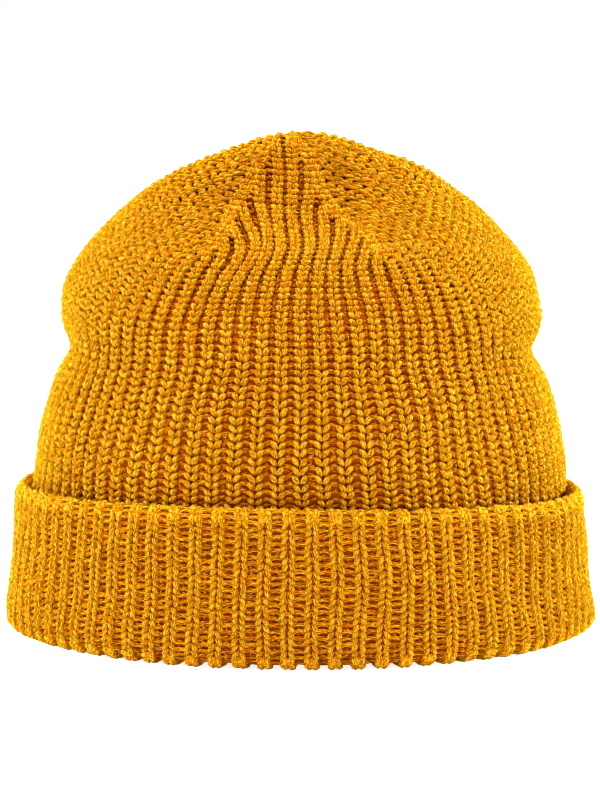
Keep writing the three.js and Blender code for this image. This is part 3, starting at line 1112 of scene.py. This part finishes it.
# %% Group: wool fibres
TONE_TO_NOISE = 61.0
STREAK_NOISE_RANGE = (0.43, 0.57)
fibres, fibres_in, fibres_out = new_group(
    "Wool fibres",
    (("Map", VECTOR, (0, 0, 0)), ("Tone", FLOAT, 0.5), ("Round", FLOAT, 13.0), ("Along", FLOAT, 3.0)),
    (("Streak", FLOAT),),
)
map_parts = fibres.nodes.new("ShaderNodeSeparateXYZ")
fibres.links.new(fibres_in.outputs["Map"], map_parts.inputs[0])
drawn = fibres.nodes.new("ShaderNodeCombineXYZ")
streak_round = math_node(fibres, "MULTIPLY", map_parts.outputs["X"], fibres_in.outputs["Round"])
streak_along = math_node(fibres, "MULTIPLY", map_parts.outputs["Y"], fibres_in.outputs["Along"])
fibres.links.new(streak_round, drawn.inputs["X"])
fibres.links.new(streak_along, drawn.inputs["Y"])
noise = fibres.nodes.new("ShaderNodeTexNoise")
noise.noise_dimensions = "4D"
noise.inputs["Scale"].default_value = 1.0
noise.inputs["Detail"].default_value = 1.0
stitch_place = math_node(fibres, "MULTIPLY", fibres_in.outputs["Tone"], TONE_TO_NOISE)
fibres.links.new(drawn.outputs["Vector"], noise.inputs["Vector"])
fibres.links.new(stitch_place, noise.inputs["W"])
streak = ranged(fibres, noise.outputs["Fac"], STREAK_NOISE_RANGE)
fibres.links.new(streak, fibres_out.inputs["Streak"])
print("group:", fibres.name)

# %% Group: wool colour and painted shade
# The relief paints shade: deep between the loops the colour turns a darker reddish brown, and the twist
# darkens it in its grooves as painted shade too.
PAINTED_SHADE_RELIEF_RANGE = (0.14, 1.0)
PAINTED_SHADE_SHARES = (-0.27, 0.17)
TONE_SHARE = 0.10
STREAK_SHARE = 0.55
TWIST_SHADE_SHARE = 0.42
# The ramp's middle is the wool's amber dye; its dark stops are painted shade, and its palest stop is a
# painted highlight on the brightest fibres.
DYE_SHADE_AND_HIGHLIGHT_COLORS = (
    (0.0, (0.36, 0.044, 0.0, 1)),
    (0.25, (0.60, 0.120, 0.001, 1)),
    (0.5, (0.85, 0.250, 0.001, 1)),
    (0.75, (0.98, 0.455, 0.001, 1)),
    (1.0, (1.00, 0.600, 0.035, 1)),
)
mixing, mixing_in, mixing_out = new_group(
    "Wool colour and painted shade",
    (("Relief", FLOAT, 1.0), ("Tone", FLOAT, 0.5), ("Streak", FLOAT, 0.5), ("Twist", FLOAT, 0.5)),
    (("Color", COLOR),),
)
lightness = ranged(mixing, mixing_in.outputs["Relief"], PAINTED_SHADE_RELIEF_RANGE, PAINTED_SHADE_SHARES, "SMOOTHSTEP")
for input_name, share in (("Tone", TONE_SHARE), ("Streak", STREAK_SHARE), ("Twist", TWIST_SHADE_SHARE)):
    part = math_node(mixing, "MULTIPLY", mixing_in.outputs[input_name], share)
    lightness = math_node(mixing, "ADD", lightness, part)
mixing.links.new(color_ramp(mixing, lightness, DYE_SHADE_AND_HIGHLIGHT_COLORS), mixing_out.inputs["Color"])
print("group:", mixing.name)

# %% [markdown]
# Wool scatters light in its fuzz and has no gloss. Hairs could be rendered for that, but a rough
# shader with a soft sheen does it for less. The material reads the tone and the depth that were
# written on the stitches, and the map round and along the yarn, and it paints shade where the yarn
# lies deep. The twist and the fibres raise the surface as well. The fabric behind the stitches is
# coloured dark as painted shade, most of all in the cuff, and only mottled.

# %% Finishes and colours of the wool
WOOL_FINISH = {
    "Roughness": 0.85,
    "Specular IOR Level": 0.02,
    "Sheen Weight": 0.25,
    "Sheen Roughness": 0.5,
    "Sheen Tint": (1.0, 0.62, 0.03, 1),
}
FIBRE_FINISH = {"Roughness": 0.9, "Specular IOR Level": 0.02}
BACK_FINISH = {"Roughness": 0.95, "Specular IOR Level": 0.1}
STRANDS_ROUND = 8
YARN_TURNS = 3.0
TWIST_RISE = 0.45
STREAK_RISE = 0.5
MOTTLE_SCALE = 700
FIBRE_COLORS = ((0, (0.85, 0.22, 0.0, 1)), (1, (1.0, 0.55, 0.04, 1)))
# The fabric behind is coloured dark as painted shade for the gaps between the stitches, darker still in
# the cuff.
CROWN_BACK_SHADE_COLORS = ((0, (0.32, 0.048, 0.0, 1)), (1, (0.50, 0.085, 0.001, 1)))
CUFF_BACK_SHADE_COLORS = ((0, (0.20, 0.026, 0.0, 1)), (1, (0.32, 0.048, 0.001, 1)))
print("wool roughness:", WOOL_FINISH["Roughness"])


# %% Parts of a material
def attribute_value(tree, name):
    """A value that was written on the stitches."""
    node = tree.nodes.new("ShaderNodeAttribute")
    node.attribute_name = name
    return node.outputs["Fac"]


def place_group(tree, group, values):
    """A group in a material, with a value for each named input."""
    node = tree.nodes.new("ShaderNodeGroup")
    node.node_tree = group
    for input_name, value in values.items():
        feed(tree, node.inputs[input_name], value)
    return node.outputs[0]


def raised(tree, height, rise, normal=None):
    """The surface's direction where a pattern raises it by so many millimetres."""
    node = tree.nodes.new("ShaderNodeBump")
    node.inputs["Strength"].default_value = 1.0
    node.inputs["Distance"].default_value = rise * MM
    tree.links.new(height, node.inputs["Height"])
    if normal is not None:
        tree.links.new(normal, node.inputs["Normal"])
    return node.outputs["Normal"]


print("the twist rises", TWIST_RISE, "mm and the fibres", STREAK_RISE, "mm")


# %% Wool materials
def wool_material(name):
    """The knitting yarn, with its twist, its fibres, its dye and its painted shade and highlight."""
    material, tree, shader = new_material(name, WOOL_FINISH)
    map_node = tree.nodes.new("ShaderNodeUVMap")
    map_node.uv_map = "Yarn"
    yarn_map = map_node.outputs["UV"]
    tone = attribute_value(tree, "tone")
    relief = attribute_value(tree, "relief")
    streak = place_group(tree, fibres, {"Map": yarn_map, "Tone": tone})
    twist_values = {"Map": yarn_map, "Plies": STRANDS_ROUND, "Turns": YARN_TURNS, "Shift": streak}
    ply = place_group(tree, twist, twist_values)
    # The base colour holds painted shade from the depth and the twist's grooves, and a painted
    # highlight on the brightest fibres.
    dye_shade_and_highlight_values = {"Relief": relief, "Tone": tone, "Streak": streak, "Twist": ply}
    tree.links.new(place_group(tree, mixing, dye_shade_and_highlight_values), shader.inputs["Base Color"])
    twisted = raised(tree, ply, TWIST_RISE)
    tree.links.new(raised(tree, streak, STREAK_RISE, twisted), shader.inputs["Normal"])
    return material


def fibre_material(name):
    """The stray fibres, plain but for a tone that differs from fibre to fibre."""
    material, tree, shader = new_material(name, FIBRE_FINISH)
    color = color_ramp(tree, attribute_value(tree, "tone"), FIBRE_COLORS)
    tree.links.new(color, shader.inputs["Base Color"])
    return material


def back_material(name, colors):
    """The fabric behind the stitches, painted dark as shade and mottled between two dark colours."""
    material, tree, shader = new_material(name, BACK_FINISH)
    coordinates = tree.nodes.new("ShaderNodeTexCoord")
    mottle = tree.nodes.new("ShaderNodeTexNoise")
    mottle.inputs["Scale"].default_value = MOTTLE_SCALE
    tree.links.new(coordinates.outputs["Object"], mottle.inputs["Vector"])
    tree.links.new(color_ramp(tree, mottle.outputs["Fac"], colors), shader.inputs["Base Color"])
    return material


finishes = (
    (crown_panels, wool_material("wool_crown")),
    (cuff_parts, wool_material("wool_cuff")),
    ((crown_fibres, cuff_fibres), fibre_material("wool_stray_fibres")),
    ((crown_back,), back_material("wool_crown_back_painted_shade", CROWN_BACK_SHADE_COLORS)),
    ((cuff_back,), back_material("wool_cuff_back_painted_shade", CUFF_BACK_SHADE_COLORS)),
)
for pieces, material in finishes:
    for piece in pieces:
        piece.data.materials.clear()
        piece.data.materials.append(material)
print("materials:", [material.name for material in bpy.data.materials])

# %% [markdown]
# Every piece rides on the hat's one body and stands for the solid that it dresses.

# %% Hand the pieces to the frame
for piece in crown_panels + [crown_fibres, crown_back]:
    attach(piece, "root")
    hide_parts("crown")
for piece in cuff_parts + [cuff_fibres, cuff_back]:
    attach(piece, "root")
    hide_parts("cuff")
